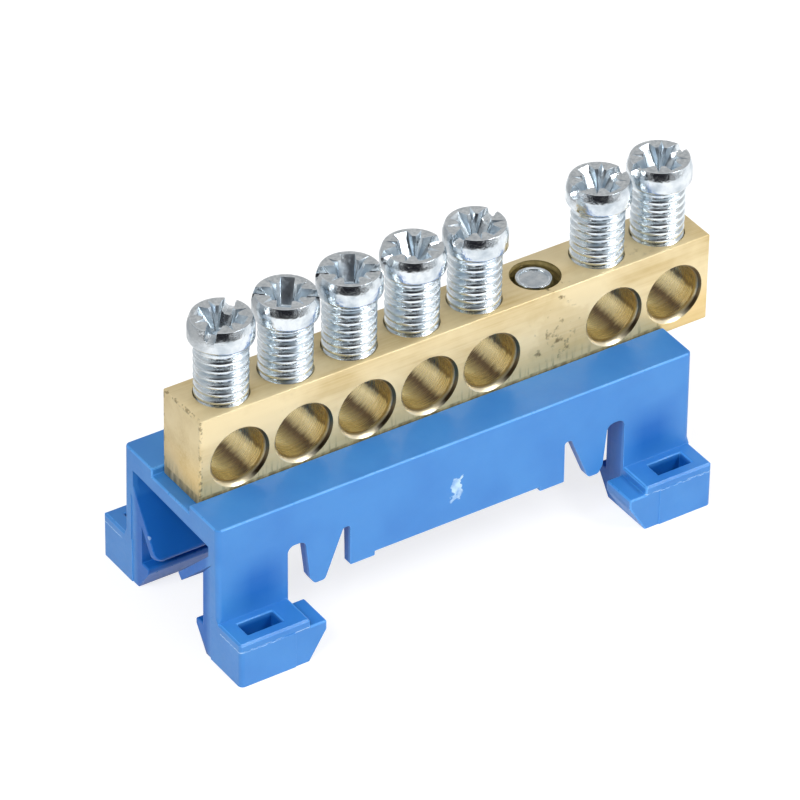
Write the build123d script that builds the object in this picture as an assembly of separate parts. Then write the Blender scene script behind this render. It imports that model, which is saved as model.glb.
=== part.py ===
from build123d import *
import math
import os

# A neutral terminal bar: a drilled brass bar with clamping screws, held by one
# screw on a moulded holder that snaps onto a 35 mm mounting rail.
# Millimetres. X runs along the bar, Y across it (the rail runs along Y), Z is up.
# All builders below measure X from the holder's left end; the parts are moved
# to the origin, at the middle of the overall length on the floor, when written.

# Rail and holder
rail_width = 35.0
rail_play = 0.15
leg_length = 7.15
deck_height = 14.4
deck_width = 15.2
deck_thickness = 2.25
groove_depth = 0.8
groove_clearance = 0.05
wall_upper = 1.4
wall_lower = 1.1
wall_draft = 0.2

# Leaf webs under the deck: the front one stands shallower and reaches further in
web_thickness = 0.8
front_root_drop = 3.45
front_edge_offset = 0.7
front_edge_height = 5.6
rear_root_drop = 3.85
rear_edge_offset = 2.3
rear_edge_height = 4.65
web_corner_radius = 0.9

# Slots, pressing teeth and skirt in the side walls
window_drop = 4.5
slot_width = 1.8
slot_round = 0.7
tooth_root = 3.9
tooth_tip = 1.1
tooth_tip_offset = 0.9
tooth_shoulder = 0.8
tooth_shoulder_lean = 0.45
tooth_tip_height = 5.0
tooth_round = 0.9
notch_width = 0.7
notch_round = 0.3
skirt_end_height = 5.45
skirt_middle_height = 5.9
skirt_end_length = 2.6

# Feet
foot_reach = 3.8
foot_height = 4.55
hook_top_height = 3.75
hook_reach = 1.7
hook_lip = 0.95
foot_hole_length = 3.6
foot_hole_width = 1.8
foot_hole_inset = 1.45
foot_hole_standoff = 0.85
foot_edge_chamfer = 0.18
foot_plate_step = 0.08
hook_block_length = 1.5
leg_thickness = 2.6
leg_pad_recess = 0.1
ledge_height = 2.9
ledge_lip = 0.6
ledge_reach = 1.05
ledge_slope_reach = 1.6

# Brass bar
bar_length = 53.2
bar_width = 6.0
bar_height = 9.0
bar_setback = 1.2
bar_edge_chamfer = 0.15
positions = 8
plain_position = 6
pitch = 6.5
first_position = 4.0
bore_radius = 2.65
bore_mouth_chamfer = 0.35
bore_height = 3.9

# Terminal screws
screw_radius = 2.45
screw_clearance = 0.05
screw_rise = 5.3
point_radius = 1.7
point_length = 1.65
head_radius = 2.95
head_height = 2.6
head_under_cone = 0.45
slot_cut_width = 1.1
slot_cut_depth = 1.1
cross_width = 1.3
cross_top_reach = 2.25
cross_floor_reach = 0.9
recess_depth = 2.0
core_top_reach = 1.45
core_floor_reach = 0.7
head_turns = [39.0, -37.0, -28.0, -5.0, 23.0, 5.0, 6.0]

# Fixing screw
fixing_radius = 2.25
fixing_dog_radius = 1.72
fixing_dog_length = 1.3
fixing_tip_chamfer = 0.45
fixing_tip_below = 0.1
fixing_head_radius = 4.0
fixing_head_height = 1.9
fixing_head_round = 0.8
fixing_slot_width = 1.0
fixing_slot_depth = 0.9
deck_hole_clearance = 0.25

# Worked out from the sizes above
leg_gap = rail_width + 2 * rail_play
holder_length = leg_gap + 2 * leg_length
overall_length = max(holder_length, bar_setback + bar_length)
half_deck = deck_width / 2
bar_bottom = deck_height - groove_depth
bar_top = bar_bottom + bar_height
bore_centre = bar_bottom + bore_height
deck_underside = deck_height - deck_thickness
window_top = deck_height - window_drop
screw_hole_radius = screw_radius + screw_clearance
fixing_hole_radius = fixing_radius + screw_clearance
screw_seat = bar_top + screw_rise
foot_outer = half_deck + foot_reach
core_taper = math.degrees(math.atan2(core_top_reach - core_floor_reach, recess_depth))


def position_x(number):
    """X of a position along the bar, counted from 1 at the left."""
    return bar_setback + first_position + (number - 1) * pitch


def wall_face(height):
    """Distance of a side wall's outer face from the middle plane at a height."""
    return half_deck + wall_draft * (deck_height - height) / deck_height


def prism_x(points, x_low, x_high):
    """Solid along X from a closed outline of (y, z) points."""
    outline = Polyline(*[(x_low, y, z) for y, z in points], close=True)
    return extrude(make_face(outline), amount=x_high - x_low, dir=(1, 0, 0))


def prism_y(points, y_low, y_high):
    """Solid along Y from a closed outline of (x, z) points."""
    outline = Polyline(*[(x, y_low, z) for x, z in points], close=True)
    return extrude(make_face(outline), amount=y_high - y_low, dir=(0, 1, 0))


def block(x_low, x_high, y_low, y_high, z_low, z_high):
    """Rectangular solid between two corners."""
    size = Box(x_high - x_low, y_high - y_low, z_high - z_low)
    return Pos((x_low + x_high) / 2, (y_low + y_high) / 2, (z_low + z_high) / 2) * size


def round_across(solid, spots, radius):
    """Round the edges along Y that pass through the given (x, z) spots."""
    edges = [
        edge
        for edge in solid.edges().filter_by(Axis.Y)
        for x, z in spots
        if abs(edge.center().X - x) < 0.01 and abs(edge.center().Z - z) < 0.01
    ]
    return fillet(edges, radius)


def both_ends(solid):
    """The solid and its mirror image at the other end of the holder."""
    return solid + mirror(solid, about=Plane.YZ.offset(holder_length / 2))


def wall_outline(y_low, y_high):
    """Half of a side wall seen from the front: leg, slot, tooth, notch and skirt."""
    tooth_start = leg_length + slot_width
    tip_start = tooth_start + tooth_tip_offset
    tip_end = tip_start + tooth_tip
    tooth_end = tooth_start + tooth_root
    skirt_start = tooth_end + notch_width
    skirt_step = skirt_start + skirt_end_length
    middle = holder_length / 2
    notch_top = window_top - notch_round / 2
    points = [
        (0, 0),
        (leg_length, 0),
        (leg_length, window_top),
        (tooth_start, window_top),
        (tooth_start + tooth_shoulder_lean, tooth_tip_height + tooth_shoulder),
        (tip_start, tooth_tip_height),
        (tip_end, tooth_tip_height),
        (tooth_end, notch_top),
        (skirt_start, notch_top),
        (skirt_start, skirt_end_height),
        (skirt_step, skirt_end_height),
        (skirt_step, skirt_middle_height),
        (middle, skirt_middle_height),
        (middle, deck_height),
        (0, deck_height),
    ]
    wall = prism_y(points, y_low, y_high)
    wall = round_across(wall, [points[2], points[3]], min(slot_round, slot_width * 0.45))
    wall = round_across(wall, [points[5], points[6]], min(tooth_round, tooth_tip * 0.4))
    return round_across(wall, [points[7], points[8]], min(notch_round, notch_width * 0.45))


def web_points(rear):
    """Root and free edge of a web's upper face, as (distance from middle, height)."""
    root_y = half_deck - wall_upper
    if rear:
        return (root_y, deck_height - rear_root_drop), (rear_edge_offset, rear_edge_height)
    return (root_y, deck_height - front_root_drop), (front_edge_offset, front_edge_height)


def web_underside(rear, distance):
    """Height of a web's lower face at a distance from the middle plane."""
    (root_y, root_z), (edge_y, edge_z) = web_points(rear)
    slope = (root_z - edge_z) / (root_y - edge_y)
    drop = web_thickness * math.hypot(1, slope)
    return edge_z + slope * (distance - edge_y) - drop


def side_wall(rear):
    """Left half of a wall, drawn at the front: the drafted section cut to the wall's outline."""
    root_height = web_points(rear)[0][1]
    section = [
        (-half_deck, deck_height),
        (-wall_face(0), 0),
        (wall_lower - wall_face(0), 0),
        (wall_lower - wall_face(root_height), root_height),
        (wall_upper - half_deck, root_height),
        (wall_upper - half_deck, deck_height),
    ]
    slab = prism_x(section, 0, holder_length / 2)
    return slab & wall_outline(-foot_outer, 0)


def leaf_web(rear):
    """Leaf web, drawn at the front: a thin plate slanting in under the deck, round at its free edge and corners."""
    (root_y, root_z), (edge_y, edge_z) = web_points(rear)
    buried = wall_upper / 2
    run = Vector(0, root_y - edge_y, -(root_z - edge_z)).normalized()
    width = math.hypot(root_y - edge_y, root_z - edge_z) + buried
    start = Vector(0, -root_y, root_z) - run * buried
    radius = min(web_corner_radius, width * 0.45)
    upper_face = Plane(origin=start, x_dir=(1, 0, 0), z_dir=Vector(1, 0, 0).cross(run))
    outline = Pos(holder_length / 2, width / 2) * Rectangle(holder_length, width)
    free_corners = outline.vertices().sort_by(Axis.Y)[-2:]
    plate = upper_face * fillet(free_corners, radius)
    into = upper_face.z_dir if upper_face.z_dir.Z < 0 else upper_face.z_dir * -1
    nose = web_thickness / 2
    slab = extrude(upper_face * Pos(holder_length / 2, (width - nose) / 2) * Rectangle(holder_length, width - nose),
                   amount=web_thickness, dir=into)
    middle = start + run * (width - nose) + into * nose
    rod = Plane(origin=middle, x_dir=(0, 1, 0), z_dir=(1, 0, 0)) * Cylinder(
        nose, holder_length, align=(Align.CENTER, Align.CENTER, Align.MIN))
    return extrude(plate, amount=web_thickness, dir=into) & (slab + rod)


def leg_pad(rear):
    """Thickening behind a left leg, drawn at the front, with the inner ledge of its foot."""
    inner = half_deck - leg_thickness
    joined = half_deck - wall_lower / 2
    tip = inner - ledge_reach
    section = [
        (-joined, 0),
        (-(tip + ledge_slope_reach), 0),
        (-tip, ledge_height - ledge_lip),
        (-tip, ledge_height),
        (-inner, ledge_height),
        (-inner, web_underside(rear, inner) + web_thickness / 2),
        (-joined, web_underside(rear, joined)),
    ]
    return prism_x(section, leg_pad_recess, leg_length)


def foot():
    """Left foot, drawn at the front: a flanged block with a rail hook and a pull hole."""
    outer = -foot_outer
    joined = -half_deck
    plate = block(0, leg_length, outer + foot_plate_step, joined, hook_top_height, foot_height)
    rim = [
        edge
        for edge in plate.edges()
        if abs(edge.center().Z - foot_height) < 0.01 and edge.center().Y < joined - 0.01
    ]
    plate = chamfer(rim, foot_edge_chamfer)
    hook_end = leg_length + hook_reach
    hook_outline = [
        (0, 0),
        (leg_length, 0),
        (hook_end, hook_top_height - hook_lip),
        (hook_end, hook_top_height),
        (0, hook_top_height),
    ]
    body = prism_y(hook_outline, outer, joined)
    relief_start = leg_length - hook_block_length
    relief = block(relief_start, hook_end + 1, outer - 1, outer + foot_plate_step, -1, hook_top_height + 1)
    root = block(0, leg_length, joined - 0.01, wall_lower - half_deck, 0, foot_height)
    hole_y = -(half_deck + foot_hole_standoff)
    hole = block(
        foot_hole_inset,
        foot_hole_inset + foot_hole_length,
        hole_y - foot_hole_width,
        hole_y,
        -1,
        foot_height + 1,
    )
    return plate + (body - relief) + root - hole


def deck():
    """Flat deck with the long groove that seats the bar."""
    plate = block(0, holder_length, -half_deck, half_deck, deck_underside, deck_height)
    half_groove = bar_width / 2 + groove_clearance
    groove = block(-1, holder_length + 1, -half_groove, half_groove, bar_bottom, deck_height + 1)
    return plate - groove


def rail_holder():
    """The moulded holder, with the hole for the fixing screw."""
    front = both_ends(side_wall(False) + leg_pad(False) + foot()) + leaf_web(False)
    back = both_ends(side_wall(True) + leg_pad(True) + foot()) + leaf_web(True)
    holder = deck() + front + mirror(back, about=Plane.XZ)
    hole_radius = fixing_radius + deck_hole_clearance
    hole = Pos(position_x(plain_position), 0, deck_underside) * Cylinder(hole_radius, 4 * deck_thickness)
    return holder - hole


def wire_bore(x):
    """Cutter for one wire bore across the bar, with a bevelled mouth at both faces."""
    half = bar_width / 2
    mouth = bore_radius + bore_mouth_chamfer
    profile = Polyline(
        (0, -half - 1),
        (mouth + 1, -half - 1),
        (bore_radius, -half + bore_mouth_chamfer),
        (bore_radius, half - bore_mouth_chamfer),
        (mouth + 1, half + 1),
        (0, half + 1),
        close=True,
    )
    cutter = revolve(make_face(profile), axis=Axis.Y)
    return Pos(x, 0, bore_centre) * cutter


def brass_bar():
    """The bar with its wire bores, tapped screw holes and fixing hole."""
    bar = block(bar_setback, bar_setback + bar_length, -bar_width / 2, bar_width / 2, bar_bottom, bar_top)
    bar = chamfer(bar.edges(), bar_edge_chamfer)
    for number in range(1, positions + 1):
        x = position_x(number)
        if number == plain_position:
            bar -= Pos(x, 0, bar_bottom) * Cylinder(fixing_hole_radius, 4 * bar_height)
            continue
        bar -= wire_bore(x)
        hole = Cylinder(screw_hole_radius, bar_height, align=(Align.CENTER, Align.CENTER, Align.MIN))
        bar -= Pos(x, 0, bore_centre) * hole
    return bar


def drive_recess():
    """Cutter for the slot and the tapered cross below it, with its top at height zero."""
    below = (Align.CENTER, Align.CENTER, Align.MAX)
    slot = Box(2.2 * head_radius, slot_cut_width, slot_cut_depth, align=below)
    floor = slot.edges().filter_by(Axis.X).sort_by(Axis.Z)[:2]
    slot = chamfer(floor, slot_cut_width * 0.25)
    wing = Polyline(
        (-cross_top_reach, 0),
        (cross_top_reach, 0),
        (cross_floor_reach, -recess_depth),
        (-cross_floor_reach, -recess_depth),
        close=True,
    )
    arm = extrude(Plane.YZ * make_face(wing), amount=cross_width / 2, both=True)
    core = extrude(
        Rot(0, 0, 45) * Rectangle(2 * core_top_reach, 2 * core_top_reach),
        amount=-recess_depth,
        taper=core_taper,
    )
    return Pos(0, 0, 0.001) * (slot + arm + core)


def terminal_screw(turn):
    """Clamping screw standing with its tip at height zero, its recess turned by an angle."""
    thread = screw_seat - (bore_centre + bore_radius)
    cone_top = thread + head_under_cone
    top = thread + head_height
    profile = Polyline(
        (0, 0),
        (point_radius, 0),
        (screw_radius, point_length),
        (screw_radius, thread),
        (head_radius, cone_top),
        (head_radius, top),
        (0, top),
        close=True,
    )
    outline = Plane.XZ * make_face(profile)
    screw = revolve(outline, axis=Axis.Z)
    return screw - Pos(0, 0, top) * Rot(0, 0, turn) * drive_recess()


def fixing_screw():
    """Screw that comes up through the deck and holds the bar, its end just below the bar's top."""
    tip = bar_top - fixing_tip_below
    shoulder = tip - fixing_dog_length
    seat = deck_underside
    head_low = seat - fixing_head_height
    profile = Polyline(
        (0, head_low),
        (fixing_head_radius - fixing_head_round, head_low),
        (fixing_head_radius, head_low + fixing_head_round),
        (fixing_head_radius, seat),
        (fixing_radius, seat),
        (fixing_radius, shoulder - (fixing_radius - fixing_dog_radius)),
        (fixing_dog_radius, shoulder),
        (fixing_dog_radius, tip - fixing_tip_chamfer),
        (fixing_dog_radius - fixing_tip_chamfer, tip),
        (0, tip),
        close=True,
    )
    screw = revolve(Plane.XZ * make_face(profile), axis=Axis.Z)
    slot = block(
        -2 * fixing_head_radius,
        2 * fixing_head_radius,
        -fixing_slot_width / 2,
        fixing_slot_width / 2,
        head_low - 1,
        head_low + fixing_slot_depth,
    )
    return Pos(position_x(plain_position), 0, 0) * (screw - slot)


def write_part(solid, name):
    """Move a part from the holder's left end to the origin and write it."""
    placed = Pos(-overall_length / 2, 0, 0) * solid
    placed.label = name
    export_step(placed, f"parts/{name}.step")


def main():
    os.makedirs("parts", exist_ok=True)
    write_part(rail_holder(), "rail_holder")
    write_part(brass_bar(), "brass_bar")
    write_part(fixing_screw(), "fixing_screw")
    wired = [number for number in range(1, positions + 1) if number != plain_position]
    tip_height = bore_centre + bore_radius
    for index, number in enumerate(wired, start=1):
        screw = terminal_screw(head_turns[(index - 1) % len(head_turns)])
        write_part(Pos(position_x(number), 0, tip_height) * screw, f"terminal_screw_{index}")


if __name__ == "__main__":
    main()
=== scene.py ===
import logging
import math
from contextlib import contextmanager
from dataclasses import dataclass, field
from enum import Enum, IntEnum
from typing import Callable, Iterator

import bmesh
import bpy
from mathutils import Matrix, Vector


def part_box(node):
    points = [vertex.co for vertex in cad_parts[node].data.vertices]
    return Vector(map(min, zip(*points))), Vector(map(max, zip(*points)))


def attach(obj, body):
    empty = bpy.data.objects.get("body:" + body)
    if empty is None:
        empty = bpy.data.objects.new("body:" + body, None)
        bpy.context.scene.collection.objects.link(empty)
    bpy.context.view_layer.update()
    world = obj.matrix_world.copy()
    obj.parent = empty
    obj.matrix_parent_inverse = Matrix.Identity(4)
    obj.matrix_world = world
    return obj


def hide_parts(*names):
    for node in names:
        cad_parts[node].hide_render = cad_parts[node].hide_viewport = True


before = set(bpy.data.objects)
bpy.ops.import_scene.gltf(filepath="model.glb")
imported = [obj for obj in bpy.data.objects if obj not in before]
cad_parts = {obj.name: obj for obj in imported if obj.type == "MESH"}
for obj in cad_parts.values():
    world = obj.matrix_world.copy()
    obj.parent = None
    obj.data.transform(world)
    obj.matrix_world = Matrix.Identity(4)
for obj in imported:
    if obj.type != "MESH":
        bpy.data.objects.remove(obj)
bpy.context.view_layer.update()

MM = 0.001
HOLDER_BODY = "holder"
SQUARE_ON = 0.999
TINY = 1e-6
Source = bpy.types.NodeSocket
Triple = tuple[float, float, float]
log = logging.getLogger("terminal_bar")


class Operation(Enum):
    """What a boolean does with its tool."""

    CUT = "DIFFERENCE"
    JOIN = "UNION"


class Slot(Enum):
    """Material slots of the record."""

    PLASTIC = "blue_plastic"
    BRASS = "brass"
    PLATED = "plated_steel"


class HolderFace(IntEnum):
    """Number of each finish on the moulding."""

    BODY = 0
    # Rounded outer edges, drawn lighter blue as a painted highlight.
    HIGHLIGHT_EDGE = 1


class ScrewFace(IntEnum):
    """Number of each finish on a screw."""

    PLATED = 0
    END = 1
    ROLLED = 2
    PRESSED = 3


class BarFace(IntEnum):
    """Number of each finish on the bar."""

    DRAWN = 0
    BORED = 1
    TAPPED = 2
    MOUTH = 3


@dataclass(frozen=True)
class Tint:
    """A colour as it looks on a screen, 0 to 255 for each channel."""

    red: int
    green: int
    blue: int

    def linear(self) -> tuple[float, float, float, float]:
        """Linear colour with an alpha of one, as the shaders take it."""
        channels = []
        for value in (self.red, self.green, self.blue):
            share = value / 255
            channels.append(share / 12.92 if share <= 0.04045 else ((share + 0.055) / 1.055) ** 2.4)
        return (*channels, 1.0)


def box_mm(node: str) -> tuple[Vector, Vector]:
    """Low and high corner of a CAD node's box at rest, in millimetres."""
    low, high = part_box(node)
    return low / MM, high / MM


def node_middle(node: str) -> Vector:
    """Middle of a CAD node's box at rest, in metres."""
    low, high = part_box(node)
    return (low + high) / 2


class Nodes:
    """A node tree, with short calls that add nodes and fill their inputs."""

    def __init__(self, tree: bpy.types.NodeTree) -> None:
        """Work on a tree that exists."""
        self.tree = tree

    def add(self, kind: str, inputs: dict | None = None, operation: str = "") -> bpy.types.Node:
        """Add a node.

        Args:
            kind: Blender's name of the node, without its first word.
            inputs: Source or constant of each input, by the input's name or number.
            operation: What a math node does.

        Returns:
            The node.
        """
        node = self.tree.nodes.new(f"ShaderNode{kind}")
        if operation:
            node.operation = operation
        for name, value in (inputs or {}).items():
            self.fill(node.inputs[name], value)
        return node

    def fill(self, socket: Source, value: Source | float | tuple | Vector) -> None:
        """Link a source to an input, or set the input's constant.

        Args:
            socket: The input.
            value: The source or the constant.
        """
        if isinstance(value, Source):
            self.tree.links.new(value, socket)
        else:
            socket.default_value = value

    def mix(self, share: Source, first: Source, second: Source) -> Source:
        """Mix two shaders, with the share of the second."""
        return self.add("MixShader", {0: share, 1: first, 2: second}).outputs[0]

    def band(self, source: Source, low: float, high: float,
             to_low: float = 0.0, to_high: float = 1.0) -> Source:
        """Map one span of values to another, held at both ends.

        Args:
            source: The value to map.
            low: Source value that gives to_low.
            high: Source value that gives to_high.
            to_low: Result at low.
            to_high: Result at high.

        Returns:
            The mapped value.
        """
        node = self.add("MapRange", {"From Min": low, "From Max": high, "To Min": to_low, "To Max": to_high,
                                     "Value": source})
        return node.outputs["Result"]

    def combine(self, kind: str, first: Source, second: Source | float) -> Source:
        """One math operation on two values, by Blender's name of it."""
        return self.add("Math", {0: first, 1: second}, kind).outputs[0]

    def plus(self, first: Source, second: Source | float) -> Source:
        """Sum of two values."""
        return self.combine("ADD", first, second)

    def times(self, first: Source, *others: Source | float) -> Source:
        """Product of some values.

        Args:
            first: The first value.
            others: The other values, linked or constant.

        Returns:
            The product.
        """
        for other in others:
            first = self.combine("MULTIPLY", first, other)
        return first

    def most(self, first: Source, *others: Source | float) -> Source:
        """Largest of some values.

        Args:
            first: The first value.
            others: The other values, linked or constant.

        Returns:
            The largest.
        """
        for other in others:
            first = self.combine("MAXIMUM", first, other)
        return first

    def away(self, value: Source, middle: float = 0.0) -> Source:
        """How far a value lies from a middle, either way."""
        return self.combine("ABSOLUTE", self.combine("SUBTRACT", value, middle), 0.0)

    def along(self, vector: Source, way: Vector) -> Source:
        """How far a vector reaches along a direction."""
        return self.add("VectorMath", {0: vector, 1: way}, "DOT_PRODUCT").outputs["Value"]

    def blend(self, share: Source, first: Tint | Source, second: Tint | Source | tuple) -> Source:
        """Mix two colours.

        Args:
            share: How much of the second colour there is.
            first: Colour where share is 0.
            second: Colour where share is 1.

        Returns:
            The mixed colour.
        """
        node = self.add("Mix")
        node.data_type = "RGBA"
        for number, value in ((0, share), (6, first), (7, second)):
            self.fill(node.inputs[number], value.linear() if isinstance(value, Tint) else value)
        return node.outputs[2]


class Graph(Nodes):
    """A material's node tree, with the few node patterns that the finishes share."""

    noise_span = (0.3, 0.7)

    def __init__(self, name: str) -> None:
        """Start a material with one Principled shader.

        Args:
            name: Name of the material.
        """
        self.material = bpy.data.materials.new(name)
        self.material.use_nodes = True
        super().__init__(self.material.node_tree)
        self.shader = self.tree.nodes["Principled BSDF"]
        spots = self.add("TexCoord")
        self.place = spots.outputs["Object"]
        self.normal = spots.outputs["Normal"]

    def set(self, **values: float | tuple) -> None:
        """Set constants on the shader's own sockets, with underscores for spaces in their names."""
        for name, value in values.items():
            self.shader.inputs[name.replace("_", " ")].default_value = value

    def at(self, name: str) -> Source:
        """Place along X, Y or Z, in millimetres."""
        return self.times(self.add("SeparateXYZ", {0: self.place}).outputs[name], 1 / MM)

    def facing(self, name: str) -> Source:
        """How far the surface faces along X, Y or Z, from -1 to 1."""
        return self.add("SeparateXYZ", {0: self.normal}).outputs[name]

    def around(self) -> Source:
        """Angle of a bore's wall in degrees: 0 on the right, 90 at the bottom and 180 on the left."""
        left = self.times(self.facing("X"), -1.0)
        return self.times(self.combine("ARCTAN2", self.facing("Z"), left), math.degrees(1.0))

    def noise(self, scale: float | Triple, detail: float = 3.0) -> Source:
        """Noise in object coordinates.

        Args:
            scale: Features per metre, alike all ways or along X, Y and Z.
            detail: Number of finer layers.

        Returns:
            The noise value, from about 0 to 1.
        """
        scales = scale if isinstance(scale, tuple) else (scale,) * 3
        vector = self.add("Mapping", {"Vector": self.place, "Scale": scales}).outputs["Vector"]
        return self.add("TexNoise", {"Scale": 1.0, "Detail": detail, "Vector": vector}).outputs["Fac"]

    def sway(self, noise: Source, low: float, high: float) -> Source:
        """Spread a noise from low to high, over the span where nearly all of it lies."""
        return self.band(noise, *self.noise_span, low, high)

    def spot(self, centre: Vector, reach: Triple, ragged: float, grain: float) -> Source:
        """Mask of one mark on the surface, with a ragged edge.

        Args:
            centre: Middle of the mark, in millimetres.
            reach: Half sizes along X, Y and Z, in millimetres.
            ragged: How far noise moves the edge, as a share of the reach.
            grain: Features of that noise per metre.

        Returns:
            1 inside the mark and 0 outside.
        """
        scale = [1 / (half * MM) for half in reach]
        shift = [-middle / half for middle, half in zip(centre, reach)]
        moved = self.add("Mapping", {"Vector": self.place, "Scale": scale, "Location": shift})
        length = self.add("VectorMath", {0: moved.outputs["Vector"]}, "LENGTH").outputs["Value"]
        pushed = self.plus(length, self.sway(self.noise(grain, 4.0), -ragged, ragged))
        return self.band(pushed, 1.0, 0.8)

    def finish(self, colour: Source, roughness: Source, height: Source,
               depth_mm: float) -> bpy.types.Material:
        """Feed the shader and close the material.

        Args:
            colour: The base colour.
            roughness: The roughness.
            height: Height of the fine relief.
            depth_mm: Depth that a height of one stands for.

        Returns:
            The material.
        """
        bump = self.add("Bump", {"Strength": 1.0, "Distance": depth_mm * MM, "Height": height})
        fed = {"Base Color": colour, "Roughness": roughness, "Normal": bump.outputs["Normal"]}
        for name, source in fed.items():
            self.fill(self.shader.inputs[name], source)
        return self.material


@dataclass(frozen=True)
class MouldedPlastic:
    """Glossy blue moulding, slightly cloudy, with a deeper blue painted as shade in its hollows and on each
    leg's front, and one pale scuff on the front wall.

    Places and sizes are in millimetres. A pair of places is where a mask starts and where it is full.
    """

    name: str = "moulded blue plastic"
    colour: Tint = Tint(60, 134, 206)
    deep: Tint = Tint(50, 124, 199)
    painted_shade_colour: Tint = Tint(4, 92, 180)
    scuff_colour: Tint = Tint(198, 226, 246)
    roughness: float = 0.42
    gloss: tuple[float, float] = (0.65, 0.3)
    scuff_at: Triple = (24.55, 3.8, 4.9)
    scuff_reach: Triple = (0.62, 0.6, 1.25)
    nick_at: tuple[float, float] = (3.6, 6.6)
    nick_reach: Triple = (0.2, 0.22, 0.17)
    flash_height: float = 3.75
    flash_half: float = 0.035
    flash_wobble: float = 0.06
    foot_from: tuple[float, float] = (8.0, 8.1)
    # Where the shade is painted: under the deck, between the walls, behind the slots, on each leg's front
    # and in the pull holes.
    under_deck: tuple[float, float] = (12.4, 11.4)
    under_share: float = 0.8
    between_walls: tuple[float, float] = (6.3, 5.6)
    behind_slots: tuple[float, float] = (7.4, 7.25)
    behind_share: float = 0.75
    from_end: tuple[float, float] = (0.35, 0.6)
    leg_middle: tuple[float, float] = (4.2, 7.2)
    leg_along: tuple[float, float] = (3.4, 0.8)
    leg_up: tuple[float, float] = (3.6, 0.8)
    leg_front: tuple[float, float] = (7.45, 7.6)
    leg_share: float = 0.75
    pull_middle: tuple[float, float] = (3.25, 9.35)
    pull_along: tuple[float, float] = (1.9, 1.84)
    pull_across: tuple[float, float] = (1.0, 0.94)
    pull_up: tuple[float, float] = (4.4, 3.9)
    pull_share: float = 0.9

    def material(self) -> bpy.types.Material:
        """Build the material."""
        low, high = box_mm("rail_holder")
        graph = Graph(self.name)
        graph.set(IOR=1.5, Subsurface_Weight=0.05, Subsurface_Scale=1.0 * MM,
                  Subsurface_Radius=(0.25, 0.5, 1.0))
        painted_shade_mask = self.painted_shade_mask(graph)
        # Less specular sheen where the shade is painted.
        graph.fill(graph.shader.inputs["Specular IOR Level"], graph.band(painted_shade_mask, 0.0, 1.0, *self.gloss))
        body = graph.blend(graph.band(graph.noise(220.0, 2.0), 0.35, 0.75), self.colour, self.deep)
        # Painted shade: the deeper blue over the hollows and leg fronts stands in for shade.
        body = graph.blend(painted_shade_mask, body, self.painted_shade_colour)
        right, back, down = self.scuff_at
        scuff_at = Vector((low.x + right, low.y + back, high.z - down))
        scuff = graph.times(graph.spot(scuff_at, self.scuff_reach, 0.75, 1400.0),
                            graph.band(graph.noise(1100.0), 0.4, 0.62, 0.35, 0.95))
        nick = graph.spot(Vector((low.x, *self.nick_at)), self.nick_reach, 0.5, 1500.0)
        marks = graph.most(scuff, graph.times(nick, 0.4), graph.times(self.flash(graph), 0.6))
        grain = graph.noise(2600.0, 2.0)
        rough = graph.sway(grain, self.roughness - 0.04, self.roughness + 0.05)
        rough = graph.plus(rough, graph.times(scuff, 0.25))
        height = graph.plus(graph.times(graph.noise(420.0, 1.0), 0.9), graph.times(grain, 0.12))
        return graph.finish(graph.blend(marks, body, self.scuff_colour), rough, height, 0.02)

    def from_middle(self, graph: Graph) -> tuple[Source, Source, float]:
        """Places from the middle outwards.

        Args:
            graph: The material's node tree.

        Returns:
            How far a place is from the middle along the holder and across it, and half the holder's length.
        """
        low, high = box_mm("rail_holder")
        along = graph.away(graph.at("X"), (low.x + high.x) / 2)
        return along, graph.away(graph.at("Y")), (high.x - low.x) / 2

    def painted_shade_mask(self, graph: Graph) -> Source:
        """Mask of painted shade: the deeper blue between the walls, in the pull holes and, fainter, on each
        leg's front.

        Args:
            graph: The material's node tree.

        Returns:
            0 on open faces, more in the hollows, where the shade is painted.
        """
        along, across, half = self.from_middle(graph)
        height = graph.at("Z")
        near_end = [half - inset for inset in self.from_end]
        behind = graph.times(graph.band(across, *self.behind_slots, 0.0, self.behind_share),
                             graph.band(along, *near_end))
        inner = graph.times(graph.most(graph.band(across, *self.between_walls), behind),
                            graph.band(height, *self.under_deck, 0.0, self.under_share))
        inset, up = self.leg_middle
        leg = graph.times(graph.band(graph.away(along, half - inset), *self.leg_along),
                          graph.band(graph.away(height, up), *self.leg_up, 0.0, self.leg_share),
                          graph.band(across, *self.leg_front))
        inset, out = self.pull_middle
        hole = graph.times(graph.band(graph.away(along, half - inset), *self.pull_along),
                           graph.band(graph.away(across, out), *self.pull_across),
                           graph.band(height, *self.pull_up, 0.0, self.pull_share))
        return graph.most(inner, leg, hole)

    def flash(self, graph: Graph) -> Source:
        """Mask of the thin, broken line that the mould's joint leaves around each foot.

        Args:
            graph: The material's node tree.

        Returns:
            1 on the line and 0 elsewhere.
        """
        along, across, half = self.from_middle(graph)
        side = box_mm("rail_holder")[1].y
        wobble = graph.sway(graph.noise(2200.0), -self.flash_wobble, self.flash_wobble)
        height = graph.away(graph.plus(graph.at("Z"), wobble), self.flash_height)
        line = graph.band(height, self.flash_half * 1.6, self.flash_half * 0.8)
        skin = graph.most(graph.band(across, side - 0.3, side - 0.2),
                          graph.band(along, half - 0.3, half - 0.2))
        upright = graph.band(graph.away(graph.facing("Z")), 0.5, 0.4)
        broken = graph.band(graph.noise(520.0), 0.36, 0.48)
        return graph.times(line, skin, upright, graph.band(across, *self.foot_from), broken)


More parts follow.
